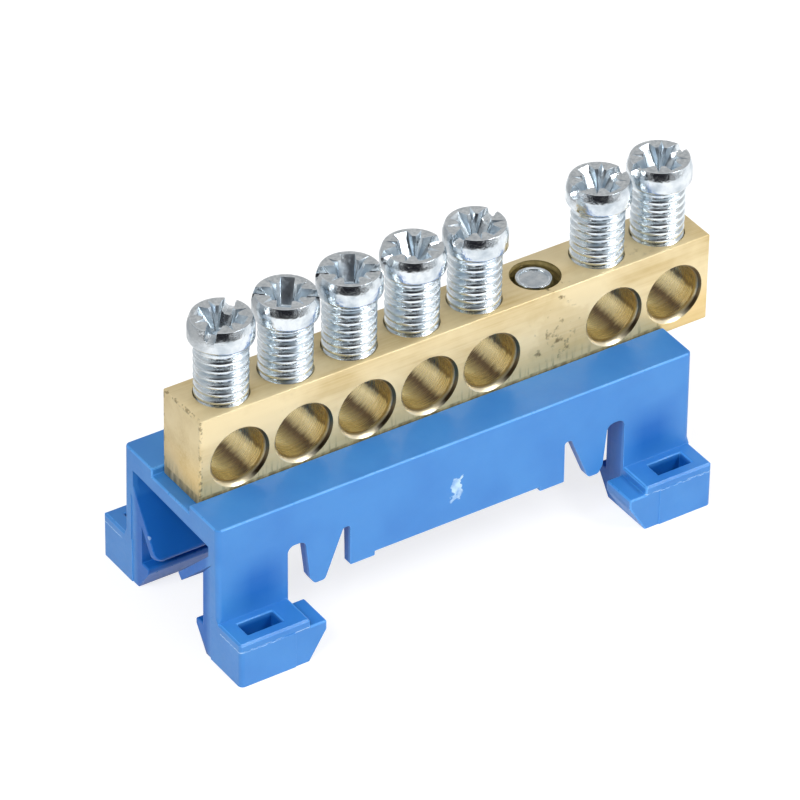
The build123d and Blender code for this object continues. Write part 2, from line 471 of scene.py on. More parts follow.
@dataclass(frozen=True)
class SawnBrass:
    """Drawn brass with lines along the bar, a dull patina, a few dark spots and a line of painted shade
    along its foot over the deck.

    Places and sizes are in millimetres, and a rise counts from the bar's lower face.
    """

    bright: Tint = Tint(240, 222, 178)
    dull: Tint = Tint(212, 188, 134)
    warm: Tint = Tint(244, 212, 142)
    spot_colour: Tint = Tint(120, 100, 62)
    roughness: float = 0.42
    metallic: float = 0.56
    stain_at: tuple[float, float] = (10.9, 18.5)
    stain_reach: Triple = (2.2, 2.0, 3.4)
    cloud_reach: Triple = (3.2, 2.0, 3.6)
    warm_rise: tuple[float, float] = (5.0, 2.5)
    streak_rise: tuple[float, float] = (2.4, 0.8)
    # Painted shade: the dark ragged line along the bar's foot, where it sits in the deck.
    crevice_shade_rise: tuple[float, float] = (1.12, 0.95)
    edge_inset: tuple[float, float] = (0.3, 0.18)

    def material(self) -> bpy.types.Material:
        """Build the material."""
        graph = Graph("drawn brass")
        graph.set(Metallic=self.metallic, Anisotropic=0.35)
        low = box_mm("brass_bar")[0]
        deck_end = box_mm("rail_holder")[1].x
        height = graph.away(graph.at("Z"), low.z)
        lines = graph.noise((60.0, 5200.0, 5200.0))
        patches = graph.noise((160.0, 260.0, 260.0), 4.0)
        dull = graph.times(graph.band(patches, 0.4, 0.72), graph.band(lines, 0.25, 0.65, 0.55, 1.0))
        stain_at = Vector((self.stain_at[0], low.y, self.stain_at[1]))
        cloud = graph.spot(stain_at, self.cloud_reach, 0.5, 420.0)
        body = graph.blend(dull, self.bright, self.dull)
        body = graph.blend(graph.band(height, *self.warm_rise, 0.0, 0.6), body, self.warm)
        body = graph.blend(graph.times(cloud, 0.3), body, self.dull)
        specks = graph.band(graph.noise(1500.0, 5.0), 0.57, 0.7)
        sparse = graph.band(graph.noise(120.0, 1.0), 0.66, 0.78)
        patch = graph.spot(stain_at, self.stain_reach, 0.8, 700.0)
        over_deck = graph.band(graph.at("X"), deck_end, deck_end - 0.5)
        streaks = graph.band(graph.noise((2600.0, 2600.0, 330.0)), 0.52, 0.66)
        ragged = graph.band(graph.noise((1900.0, 1900.0, 500.0)), 0.35, 0.65, 0.25, 1.0)
        marks = graph.most(graph.times(specks, graph.most(sparse, patch)),
                           graph.times(streaks, graph.band(height, *self.streak_rise), over_deck, 0.7),
                           self.worn_edges(graph),
                           # Painted shade along the bar's foot, where it meets the deck.
                           graph.times(graph.band(height, *self.crevice_shade_rise, 0.0, 0.9), ragged, over_deck))
        rough = graph.sway(lines, self.roughness - 0.06, self.roughness + 0.1)
        rough = graph.plus(rough, graph.times(dull, 0.08))
        colour = graph.blend(graph.times(marks, 0.8), body, self.spot_colour)
        return graph.finish(colour, rough, lines, 0.012)

    def worn_edges(self, graph: Graph) -> Source:
        """Mask of the small dark specks along the edges of the bar's left end.

        Args:
            graph: The material's node tree.

        Returns:
            More than 0 on a speck and 0 elsewhere.
        """
        low, high = box_mm("brass_bar")
        far, near = self.edge_inset
        side = graph.band(graph.away(graph.at("Y")), high.y - far, high.y - near)
        end = graph.band(graph.at("X"), low.x + far, low.x + near)
        top = graph.band(graph.at("Z"), high.z - far, high.z - near)
        specks = graph.band(graph.noise(2600.0, 4.0), 0.5, 0.6, 0.0, 0.8)
        return graph.times(end, graph.most(side, top), specks)


@dataclass(frozen=True)
class BoredBrass:
    """Drilled brass inside the bores, with fine rings left by the drill, and painted reflections along them:
    dark strips and darker zones set by the angle that the wall faces.

    A pair of angles is where a strip starts and where it is full.
    """

    bright: Tint = Tint(254, 236, 182)
    dull: Tint = Tint(240, 218, 158)
    painted_dark_reflection: Tint = Tint(128, 106, 76)
    lower: Tint = Tint(222, 202, 136)
    upper: Tint = Tint(190, 166, 108)
    roughness: float = 0.24
    waver: float = 3.5
    lower_from: tuple[float, float] = (58.0, 72.0)
    upper_from: tuple[float, float] = (17.0, 9.0)
    deep_strip: tuple[tuple[float, float], tuple[float, float]] = ((48.0, 61.0), (96.0, 67.0))
    thin_strip: tuple[tuple[float, float], tuple[float, float]] = ((3.0, 10.0), (19.0, 14.0))
    thin_share: float = 0.7

    def material(self) -> bpy.types.Material:
        """Build the material."""
        graph = Graph("bored brass")
        graph.set(Metallic=0.7)
        rings = graph.noise((500.0, 5200.0, 500.0))
        ragged = graph.sway(graph.noise((200.0, 3400.0, 200.0)), -self.waver, self.waver)
        angle = graph.plus(graph.around(), ragged)
        body = graph.blend(graph.sway(graph.noise(400.0), 0.0, 1.0), self.bright, self.dull)
        # Painted reflection: darker from the bottom round to the left, and darker still on the right and
        # over the top, by the angle the wall faces.
        body = graph.blend(graph.band(angle, *self.lower_from), body, self.lower)
        body = graph.blend(graph.band(angle, *self.upper_from), body, self.upper)
        # Painted reflection: two dark strips at set angles round the bore.
        start, end = self.deep_strip
        deep = graph.times(graph.band(angle, *start), graph.band(angle, *end))
        start, end = self.thin_strip
        thin = graph.times(graph.band(angle, *start), graph.band(angle, *end, 0.0, self.thin_share))
        rough = graph.sway(rings, self.roughness - 0.04, self.roughness + 0.1)
        return graph.finish(graph.blend(graph.most(deep, thin), body, self.painted_dark_reflection), rough, rings, 0.02)


@dataclass(frozen=True)
class MouthBrass:
    """Bevelled mouths of the bores: bright where they face up, with a painted dark reflection on one side.
    """

    bright: Tint = Tint(252, 243, 218)
    dull: Tint = Tint(236, 222, 184)
    painted_dark_side: Tint = Tint(146, 120, 82)
    inner: Tint = Tint(236, 214, 158)
    roughness: float = 0.34
    waver: float = 5.0
    dark_side_to: tuple[float, float] = (66.0, 50.0)
    dark_side_from: tuple[float, float] = (-70.0, -40.0)

    def material(self) -> bpy.types.Material:
        """Build the material."""
        graph = Graph("bore mouth")
        graph.set(Metallic=1.0)
        stains = graph.noise(600.0)
        angle = graph.plus(graph.around(), graph.sway(stains, -self.waver, self.waver))
        slope = graph.away(graph.facing("Y"))
        body = graph.blend(graph.sway(stains, 0.0, 1.0), self.bright, self.dull)
        body = graph.blend(graph.band(slope, 0.3, 0.15), body, self.inner)
        # Painted reflection: the bevel is drawn dark on the side set by the angle it faces.
        side = graph.times(graph.band(angle, *self.dark_side_to), graph.band(angle, *self.dark_side_from),
                           graph.band(slope, 0.45, 0.6))
        rough = graph.sway(stains, self.roughness - 0.04, self.roughness + 0.1)
        return graph.finish(graph.blend(side, body, self.painted_dark_side), rough, stains, 0.01)


@dataclass(frozen=True)
class TappedBrass:
    """Darker brass wall of the open tapped hole."""

    bright: Tint = Tint(196, 176, 116)
    dull: Tint = Tint(124, 108, 66)
    roughness: float = 0.45

    def material(self) -> bpy.types.Material:
        """Build the material."""
        graph = Graph("tapped brass")
        graph.set(Metallic=0.55)
        stains = graph.noise(900.0, 4.0)
        body = graph.blend(graph.sway(stains, 0.0, 1.0), self.bright, self.dull)
        rough = graph.sway(stains, self.roughness - 0.1, self.roughness + 0.1)
        return graph.finish(body, rough, stains, 0.02)


@dataclass(frozen=True)
class ZincPlate:
    """Bright bluish zinc plate over steel, with faint smudges."""

    name: str = "zinc plate"
    bright: Tint = Tint(232, 238, 242)
    smudge: Tint = Tint(190, 201, 210)
    roughness: float = 0.14
    grain_mm: float = 0.045

    def material(self) -> bpy.types.Material:
        """Build the material."""
        graph = Graph(self.name)
        graph.set(Metallic=1.0)
        smudges = graph.noise(700.0, 4.0)
        body = graph.blend(graph.band(smudges, 0.4, 0.7), self.bright, self.smudge)
        rough = graph.band(smudges, 0.35, 0.7, self.roughness - 0.03, self.roughness + 0.1)
        return graph.finish(body, rough, graph.noise(2400.0, 4.0), self.grain_mm)


@dataclass(frozen=True)
class DulledFace:
    """Flat, pressed end face of a screw: the same plate, grey and matt."""

    colour: Tint = Tint(226, 230, 232)
    worn: Tint = Tint(196, 202, 206)
    roughness: float = 0.42

    def material(self) -> bpy.types.Material:
        """Build the material."""
        graph = Graph("dulled zinc face")
        graph.set(Metallic=1.0)
        speckle = graph.noise(3200.0, 4.0)
        body = graph.blend(graph.band(speckle, 0.35, 0.65), self.colour, self.worn)
        rough = graph.sway(speckle, self.roughness - 0.06, self.roughness + 0.08)
        return graph.finish(body, rough, speckle, 0.012)


@dataclass
class Finishes:
    """Every material, made once."""

    plastic: bpy.types.Material = field(default_factory=lambda: MouldedPlastic().material())
    # The lighter blue on the rounded outer edges is a painted highlight.
    edge: bpy.types.Material = field(default_factory=lambda: MouldedPlastic(
        "blue edges with painted highlight", Tint(84, 158, 228), Tint(60, 140, 216), roughness=0.3).material())
    brass: bpy.types.Material = field(default_factory=lambda: SawnBrass().material())
    bored: bpy.types.Material = field(default_factory=lambda: BoredBrass().material())
    mouth: bpy.types.Material = field(default_factory=lambda: MouthBrass().material())
    tapped: bpy.types.Material = field(default_factory=lambda: TappedBrass().material())
    zinc: bpy.types.Material = field(default_factory=lambda: ZincPlate().material())
    rolled: bpy.types.Material = field(default_factory=lambda: ZincPlate(
        "rolled zinc", Tint(242, 249, 253), Tint(208, 221, 231), 0.24, 0.02).material())
    pressed: bpy.types.Material = field(default_factory=lambda: ZincPlate(
        "pressed zinc", Tint(232, 241, 247), Tint(196, 210, 222), 0.3, 0.04).material())
    dulled: bpy.types.Material = field(default_factory=lambda: DulledFace().material())


def add_object(name: str, bm: bmesh.types.BMesh) -> bpy.types.Object:
    """Turn a bmesh into an object in the scene and free it.

    Args:
        name: Name of the object and its mesh.
        bm: The finished bmesh.

    Returns:
        The new object.
    """
    mesh = bpy.data.meshes.new(name)
    bm.to_mesh(mesh)
    bm.free()
    piece = bpy.data.objects.new(name, mesh)
    bpy.context.scene.collection.objects.link(piece)
    return piece


def settle(piece: bpy.types.Object) -> None:
    """Apply a piece's modifiers to its mesh.

    Args:
        piece: The piece.
    """
    graph = bpy.context.evaluated_depsgraph_get()
    mesh = bpy.data.meshes.new_from_object(piece.evaluated_get(graph))
    piece.modifiers.clear()
    spent = piece.data
    piece.data = mesh
    bpy.data.meshes.remove(spent)


def combine(piece: bpy.types.Object, tool: bpy.types.Object, operation: Operation) -> None:
    """Cut a tool out of a piece or join it on, and remove the tool.

    Args:
        piece: The piece that stays.
        tool: The tool, which is removed.
        operation: What to do with it.
    """
    modifier = piece.modifiers.new("shape", "BOOLEAN")
    modifier.operation = operation.value
    modifier.solver = "EXACT"
    modifier.object = tool
    settle(piece)
    bpy.data.objects.remove(tool)


@contextmanager
def editing(mesh: bpy.types.Mesh) -> Iterator[bmesh.types.BMesh]:
    """Open a mesh for editing and write it back afterwards.

    Args:
        mesh: The mesh.

    Yields:
        The mesh as a bmesh.
    """
    bm = bmesh.new()
    bm.from_mesh(mesh)
    yield bm
    bm.to_mesh(mesh)
    bm.free()


def dress(mesh: bpy.types.Mesh, *finishes: bpy.types.Material) -> None:
    """Give a mesh its materials.

    Args:
        mesh: The mesh.
        finishes: The materials, in the order of their numbers.
    """
    mesh.materials.clear()
    for finish in finishes:
        mesh.materials.append(finish)


def quarter(steps: int) -> list[float]:
    """Evenly spaced angles from 0 to a right angle, in radians."""
    return [math.pi / 2 * step / steps for step in range(steps + 1)]


def smooth(piece: bpy.types.Object, degrees: float, flat_faces: bool = False) -> None:
    """Shade a piece smooth.

    Args:
        piece: The piece.
        degrees: Edges sharper than this angle stay sharp.
        flat_faces: Let the large faces rule the shading, so that they look flat up to their edges.
    """
    piece.data.shade_smooth()
    piece.data.set_sharp_from_angle(angle=math.radians(degrees))
    if flat_faces:
        modifier = piece.modifiers.new("flat faces", "WEIGHTED_NORMAL")
        modifier.keep_sharp = True
        settle(piece)


def turned(rows: list[tuple[float, float]], columns: int,
           radius_at: Callable[[float, float, float], float] | None = None) -> bmesh.types.BMesh:
    """Closed solid turned about Z.

    Args:
        rows: Radius and height of each ring, from the bottom up. The ends are closed with flat faces.
        columns: Number of points round each ring.
        radius_at: Changes a ring's radius, from the radius, angle and height.

    Returns:
        The solid.
    """
    bm = bmesh.new()
    rings = []
    for radius, height in rows:
        ring = []
        for column in range(columns):
            angle = 2 * math.pi * column / columns
            reach = radius_at(radius, angle, height) if radius_at else radius
            ring.append(bm.verts.new((reach * math.cos(angle), reach * math.sin(angle), height)))
        rings.append(ring)
    for lower, upper in zip(rings, rings[1:]):
        for column in range(columns):
            after = (column + 1) % columns
            bm.faces.new((lower[column], lower[after], upper[after], upper[column]))
    bm.faces.new(list(reversed(rings[0])))
    bm.faces.new(rings[-1])
    return bm


def hull(points: list[Triple]) -> bmesh.types.BMesh:
    """Closed convex solid around some points.

    Args:
        points: The corners, in millimetres.

    Returns:
        The solid, in millimetres.
    """
    bm = bmesh.new()
    for point in points:
        bm.verts.new(point)
    bmesh.ops.convex_hull(bm, input=bm.verts)
    bmesh.ops.dissolve_limit(bm, angle_limit=math.radians(0.5), verts=bm.verts, edges=bm.edges)
    return bm


def stack(rings: list[list[Triple]]) -> bmesh.types.BMesh:
    """Closed solid through like outlines, one above the other.

    Args:
        rings: The outlines from the bottom up, counter-clockwise seen from above, in millimetres.

    Returns:
        The solid, in metres.
    """
    bm = bmesh.new()
    rows = [[bm.verts.new(point) for point in ring] for ring in rings]
    bm.faces.new(list(reversed(rows[0])))
    bm.faces.new(rows[-1])
    for lower, upper in zip(rows, rows[1:]):
        for index in range(len(lower)):
            after = (index + 1) % len(lower)
            bm.faces.new((lower[index], lower[after], upper[after], upper[index]))
    return place(bm, Matrix.Identity(4))


def place(bm: bmesh.types.BMesh, move: Matrix) -> bmesh.types.BMesh:
    """Move a bmesh that is in millimetres, and scale it to metres."""
    bmesh.ops.transform(bm, matrix=Matrix.Scale(MM, 4) @ move, verts=bm.verts)
    return bm


@dataclass
class RailHolder:
    """The blue moulding: the frame's solid with its edges rounded as a mould leaves them."""

    node: str = "rail_holder"
    edge_radius: float = 0.17
    half_deck: float = 7.6
    draft: float = 0.2
    foot_round: float = 0.45
    foot_top: float = 4.55
    wall_round: float = 0.5
    segments: int = 3
    sharp_from: float = 32.0
    sole: float = 0.05
    root_inner: float = 5.0
    root_outer: float = 6.9
    root_low: float = 8.6
    root_high: float = 11.6
    narrow_share: float = 0.32
    corner_steps: int = 8
    corner_over: float = 0.3
    flat_within: float = 0.6
    weld: float = 0.002
    least_run: float = 0.3
    straight_on: float = 0.7
    crease: float = 40.0

    def round_corners(self, piece: bpy.types.Object, rows: list[tuple[float, float, float, float]]) -> None:
        """Cut four upright outer corners to a round, along faces that may lean.

        Args:
            piece: The moulding.
            rows: Height, distance of the side face from the middle plane, radius and inset of each row.
        """
        low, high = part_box(self.node)
        over = self.corner_over
        for end, edge_x in ((1, low.x / MM), (-1, high.x / MM)):
            for side in (1, -1):
                rings = []
                for height, face, radius, inset in rows:
                    reach = radius - inset
                    outline = [(-over, -over), (radius, -over)]
                    outline += [(radius - reach * math.sin(turn), radius - reach * math.cos(turn))
                                for turn in quarter(self.corner_steps)]
                    outline.append((-over, radius))
                    ring = [(edge_x + end * x, side * (y - face), height) for x, y in outline]
                    rings.append(ring if end * side > 0 else ring[::-1])
                combine(piece, add_object("corner", stack(rings)), Operation.CUT)

    def round_feet(self, piece: bpy.types.Object) -> None:
        """Round the outer corners of the feet.

        Args:
            piece: The moulding.
        """
        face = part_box(self.node)[1].y / MM
        heights = (-1.0, self.foot_top + 0.1)
        self.round_corners(piece, [(height, face, self.foot_round, 0.0) for height in heights])

    def round_walls(self, piece: bpy.types.Object) -> None:
        """Round the upright ends of the drafted walls, fading out just above the feet.

        Args:
            piece: The moulding.
        """
        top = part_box(self.node)[1].z / MM
        rows = [(self.foot_top + 0.05, 0.1, 0.0), (self.foot_top + 0.6, self.wall_round, 0.0)]
        for turn in quarter(self.segments):
            drop = self.edge_radius * (1 - math.sin(turn))
            rows.append((top - drop, self.wall_round, self.edge_radius * (1 - math.cos(turn))))
        rows.append((top + self.corner_over, self.wall_round, self.edge_radius))
        lean = self.draft / top
        self.round_corners(piece, [(height, self.half_deck + lean * (top - height), radius, inset)
                                   for height, radius, inset in rows])

    def room(self, edge: bmesh.types.BMEdge) -> float:
        """How far the faces beside an edge reach away from it.

        Args:
            edge: The edge.

        Returns:
            The least reach, in metres.
        """
        along = (edge.verts[1].co - edge.verts[0].co).normalized()
        room = math.inf
        for vert in edge.verts:
            for other in vert.link_edges:
                if other is edge or not set(other.link_faces) & set(edge.link_faces):
                    continue
                run = other.verts[1].co - other.verts[0].co
                across = run.length * math.sqrt(max(0.0, 1 - (run.normalized().dot(along)) ** 2))
                if across > self.least_run * run.length:
                    room = min(room, across)
        return room

    def widths(self, bm: bmesh.types.BMesh) -> None:
        """Store how wide each sharp edge may be rounded, less beside a narrow step.

        Args:
            bm: The moulding, which gets a bevel weight on its edges.
        """
        layer = bm.edges.layers.float.new("bevel_weight_edge")
        sharp = {}
        for edge in bm.edges:
            if self.stays_crisp(edge):
                continue
            if len(edge.link_faces) == 2 and edge.calc_face_angle(0.0) >= math.radians(self.sharp_from):
                sharp[edge] = min(self.edge_radius * MM, self.narrow_share * self.room(edge))
        changed = True
        while changed:
            changed = False
            for edge in sharp:
                for other in self.carried_on(edge, sharp):
                    if sharp[other] < sharp[edge] - TINY * MM:
                        sharp[edge] = sharp[other]
                        changed = True
        for edge, wide in sharp.items():
            edge[layer] = wide / (self.edge_radius * MM)

    def stays_crisp(self, edge: bmesh.types.BMEdge) -> bool:
        """Whether an edge stays unrounded.

        Args:
            edge: The edge.

        Returns:
            True on the sole and among the crowded corners inside the walls, by the webs' roots.
        """
        middle = (edge.verts[0].co + edge.verts[1].co) / 2 / MM
        inside = self.root_inner < abs(middle.y) < self.root_outer
        return middle.z < self.sole or (inside and self.root_low < middle.z < self.root_high)

    def carried_on(self, edge: bmesh.types.BMEdge, sharp: dict) -> list[bmesh.types.BMEdge]:
        """Sharp edges that carry an edge's line on past its ends without a corner.

        Args:
            edge: The edge.
            sharp: The sharp edges.

        Returns:
            The edges that follow on.
        """
        follow = []
        for vert in edge.verts:
            ahead = (vert.co - edge.other_vert(vert).co).normalized()
            for other in vert.link_edges:
                if other is edge or other not in sharp:
                    continue
                if (other.other_vert(vert).co - vert.co).normalized().dot(ahead) > self.straight_on:
                    follow.append(other)
        return follow

    def keep_light_outside(self, mesh: bpy.types.Mesh) -> None:
        """Give the rounded inner corners the body's finish, so that only outer edges carry the painted
        highlight.

        Args:
            mesh: The moulding's mesh.
        """
        with editing(mesh) as bm:
            for face in bm.faces:
                middle = face.calc_center_median()
                rise = sum((other.calc_center_median() - middle).dot(face.normal)
                           for edge in face.edges for other in edge.link_faces if other is not face)
                if face.material_index == HolderFace.HIGHLIGHT_EDGE and rise > 0:
                    face.material_index = HolderFace.BODY

    def flatten(self, bm: bmesh.types.BMesh) -> None:
        """Join faces that lie in one plane."""
        angle = math.radians(self.flat_within)
        bmesh.ops.dissolve_limit(bm, angle_limit=angle, verts=bm.verts, edges=bm.edges)

    def build(self, finishes: Finishes) -> bpy.types.Object:
        """Make the rounded moulding and let it stand for the node.

        Args:
            finishes: The materials.

        Returns:
            The piece.
        """
        bm = bmesh.new()
        bm.from_mesh(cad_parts[self.node].data)
        bmesh.ops.remove_doubles(bm, verts=bm.verts, dist=self.weld * MM)
        self.flatten(bm)
        piece = add_object("holder_moulding", bm)
        self.round_feet(piece)
        with editing(piece.data) as bm:
            self.flatten(bm)
            self.widths(bm)
        dress(piece.data, finishes.plastic, finishes.edge)
        bevel = piece.modifiers.new("rounded edges", "BEVEL")
        bevel.limit_method = "WEIGHT"
        bevel.width = self.edge_radius * MM
        # The bevel's faces take the lighter blue of the painted edge highlight.
        bevel.material = HolderFace.HIGHLIGHT_EDGE
        bevel.segments = self.segments
        bevel.use_clamp_overlap = False
        bevel.harden_normals = False
        settle(piece)
        self.keep_light_outside(piece.data)
        self.round_walls(piece)
        smooth(piece, self.crease, True)
        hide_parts(self.node)
        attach(piece, HOLDER_BODY)
        return piece


@dataclass
class Thread:
    """A rolled metric thread."""

    crest: float
    root: float
    pitch: float = 0.8
    rows_per_turn: int = 14
    sharpness: float = 1.7

    def radius(self, angle: float, height: float, depth_share: float) -> float:
        """Radius of the thread's surface.

        Args:
            angle: Angle about the axis.
            height: Height along the axis.
            depth_share: How much of the full depth the thread has there.

        Returns:
            The radius.
        """
        wave = 0.5 + 0.5 * math.cos(2 * math.pi * (height / self.pitch) - angle)
        depth = (self.crest - self.root) * depth_share
        return self.crest - depth * (1 - wave) ** self.sharpness

    def heights(self, low: float, high: float) -> list[float]:
        """Evenly spaced ring heights from low to high."""
        count = max(2, math.ceil((high - low) / self.pitch * self.rows_per_turn))
        return [low + (high - low) * step / count for step in range(count + 1)]


def fade(value: float, low: float, high: float) -> float:
    """Smooth step from 0 at low to 1 at high."""
    share = min(1.0, max(0.0, (value - low) / (high - low)))
    return share * share * (3 - 2 * share)


@dataclass
class TerminalScrew:
    """One clamping screw, with a rolled thread, a barrel head and a combined slot and cross recess."""

    head_height: float = 2.6
    head_round: float = 0.06
    shoulder_drop: float = 0.24
    shoulder_height: float = 0.8
    shoulder_bow: float = 1.3
    under_cone: float = 0.5
    cone_foot: tuple[float, float] = (0.16, 0.12)
    cone_edge: tuple[float, float] = (0.05, 0.15)
    point_radius: float = 1.7
    point_chamfer: float = 0.1
    point_length: float = 1.65
    thread_run_in: float = 0.5
    thread_run_out: float = 0.3
    columns: int = 96
    slot_width: float = 1.05
    slot_depth: float = 0.95
    slot_bevel_share: float = 0.25
    slot_reach: float = 4.0
    cross_width: float = 1.3
    cross_reach: float = 2.25
    cross_floor_reach: float = 0.9
    cross_taper: float = 0.75
    recess_depth: float = 2.0
    recess_over: float = 0.3
    core_reach: float = 1.5
    core_floor: float = 0.75
    core_sink: float = 0.15
    tick_start: float = 1.0
    tick_reach: float = 2.5
    tick_depth: float = 1.0
    tick_width: float = 1.0
    rim_bevel: float = 0.05
    rim_angle: float = 38.0
    weld: float = 0.004
    crease: float = 32.0
    shoulder_steps: int = 8
    thread: Thread = field(default_factory=lambda: Thread(crest=2.43, root=2.1, sharpness=2.2))

    def body(self, radius: float, height: float) -> bpy.types.Object:
        """The turned and threaded body, with its tip at zero.

        Args:
            radius: Head radius in millimetres.
            height: Whole height in millimetres.

        Returns:
            The body, in metres.
        """
        neck = height - self.head_height
        tip = self.point_length
        rows = [(self.point_radius - self.point_chamfer, 0.0), (self.point_radius, self.point_chamfer),
                (self.thread.crest - 0.02, tip)]
        rows += [(self.thread.crest, z) for z in self.thread.heights(tip + 0.05, neck)]
        cone_top = neck + self.under_cone
        inset, drop = self.cone_foot
        lip, rise = self.cone_edge
        rows += [(radius - inset, cone_top - drop), (radius - lip, cone_top), (radius, cone_top + rise)]
        bend = height - self.head_round - self.shoulder_height
        for step in range(self.shoulder_steps + 1):
            share = step / self.shoulder_steps
            inset = self.shoulder_drop * share ** self.shoulder_bow
            rows.append((radius - inset, bend + self.shoulder_height * share))
        for turn in quarter(3)[1:]:
            inset = self.shoulder_drop + self.head_round * (1 - math.cos(turn))
            rows.append((radius - inset, height - self.head_round * (1 - math.sin(turn))))

        def threaded(ring: float, angle: float, z: float) -> float:
            """Radius of a ring's point, threaded between the screw's point and the neck.

            Args:
                ring: The ring's radius.
                angle: Angle about the axis.
                z: Height along the axis.

            Returns:
                The radius.
            """
            if abs(ring - self.thread.crest) > TINY:
                return ring
            share = fade(z, tip, tip + self.thread_run_in) * (1 - fade(z, neck - self.thread_run_out, neck))
            return self.thread.radius(angle, z, share)

        return add_object("screw_body", place(turned(rows, self.columns, threaded), Matrix.Identity(4)))

    def recess(self, height: float) -> bpy.types.Object:
        """Cutter for the recess, in place at the top of the head.

        Args:
            height: Whole height of the screw in millimetres.

        Returns:
            The cutter, in metres.
        """
        over = self.recess_over
        half = self.slot_width / 2
        bevel = self.slot_width * self.slot_bevel_share
        reach = self.slot_reach
        floor = -self.slot_depth
        profile = [(-half, over), (half, over), (half, floor + bevel), (half - bevel, floor),
                   (bevel - half, floor), (-half, floor + bevel)]
        lift = Matrix.Translation((0, 0, height))
        slot = hull([(x, y, z) for x in (-reach, reach) for y, z in profile])
        cutter = add_object("recess", place(slot, lift))
        slope = (self.cross_reach - self.cross_floor_reach) / self.recess_depth
        wide = self.cross_width / 2
        for turn, extra in ((0.0, 0.04), (90.0, 0.08)):
            rise = over + extra
            floor = extra / 2 - self.recess_depth
            wings = ((self.cross_taper * wide, self.cross_floor_reach, floor),
                     (wide, self.cross_reach + slope * rise, rise))
            arm = hull([(side * x, end * y, z) for x, y, z in wings for side in (-1, 1) for end in (-1, 1)])
            tool = add_object("arm", place(arm, lift @ Matrix.Rotation(math.radians(turn), 4, "Z")))
            combine(cutter, tool, Operation.JOIN)
        rise = over + 0.12
        flare = (self.core_reach - self.core_floor) / self.recess_depth
        ends = [(self.core_floor, -self.recess_depth - self.core_sink),
                (self.core_reach + flare * rise, rise)]
        core = turned(ends, self.columns // 2)
        combine(cutter, add_object("core", place(core, lift)), Operation.JOIN)
        for corner in range(4):
            turn = Matrix.Rotation(math.radians(45 + 90 * corner), 4, "Z")
            rise = over + 0.16 + 0.02 * corner
            half = self.tick_width / 2
            tick = hull([(self.tick_start, -half, rise), (self.tick_start, half, rise),
                         (self.tick_start, 0, -self.tick_depth), (self.tick_reach, 0, 0.02),
                         (self.tick_reach + 0.05, 0, rise)])
            combine(cutter, add_object("tick", place(tick, lift @ turn)), Operation.JOIN)
        return cutter

    def soften(self, piece: bpy.types.Object, low: float) -> None:
        """Round the recess's edges.

        Args:
            piece: The screw.
            low: Height above which edges are rounded, in millimetres.
        """
        with editing(piece.data) as bm:
            bmesh.ops.remove_doubles(bm, verts=bm.verts, dist=self.weld * MM)
            sharp = math.radians(self.rim_angle)
            edges = [edge for edge in bm.edges
                     if len(edge.link_faces) == 2 and edge.calc_face_angle(0.0) > sharp
                     and min(vert.co.z for vert in edge.verts) > low * MM]
            bmesh.ops.bevel(bm, geom=edges, offset=self.rim_bevel * MM, segments=2, profile=0.5,
                            affect="EDGES", clamp_overlap=True)

    def master(self, radius: float, height: float, finishes: Finishes) -> bpy.types.Mesh:
        """The screw's mesh with its tip at the origin, to be copied to each place.

        Args:
            radius: Head radius in millimetres.
            height: Whole height in millimetres.
            finishes: The materials.

        Returns:
            The mesh.
        """
        piece = self.body(radius, height)
        combine(piece, self.recess(height), Operation.CUT)
        self.soften(piece, height - self.head_height + self.under_cone)
        mesh = piece.data
        dress(mesh, finishes.zinc, finishes.dulled, finishes.rolled, finishes.pressed)
        smooth(piece, self.crease)
        for face in mesh.polygons:
            if face.normal.z > SQUARE_ON and face.center.z > (height - 0.01) * MM:
                face.material_index = ScrewFace.END
            elif face.center.z < (height - self.head_height) * MM:
                face.material_index = ScrewFace.ROLLED
            elif face.center.xy.length < (radius - self.shoulder_drop - self.head_round - 0.1) * MM:
                face.material_index = ScrewFace.PRESSED
        bpy.data.objects.remove(piece)
        return mesh


@dataclass
class ScrewSet:
    """The seven terminal screws, each turned as it stands in its hole."""

    turns: tuple[float, ...] = (39.0, -37.0, -28.0, -5.0, 23.0, 5.0, 6.0)
    screw: TerminalScrew = field(default_factory=TerminalScrew)

    def build(self, finishes: Finishes) -> list[bpy.types.Object]:
        """Copy one screw to each node's place.

        Args:
            finishes: The materials.

        Returns:
            The screws.
        """
        low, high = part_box("terminal_screw_1")
        radius = (high.x - low.x) / 2 / MM
        mesh = self.screw.master(radius, (high.z - low.z) / MM, finishes)
        pieces = []
        for number, turn in enumerate(self.turns, start=1):
            node = f"terminal_screw_{number}"
            copy = mesh.copy()
            middle = node_middle(node)
            stand = Matrix.Translation((middle.x, middle.y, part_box(node)[0].z))
            copy.transform(stand @ Matrix.Rotation(math.radians(turn), 4, "Z"))
            piece = bpy.data.objects.new(f"clamping_screw_{number}", copy)
            bpy.context.scene.collection.objects.link(piece)
            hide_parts(node)
            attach(piece, node)
            pieces.append(piece)
        return pieces


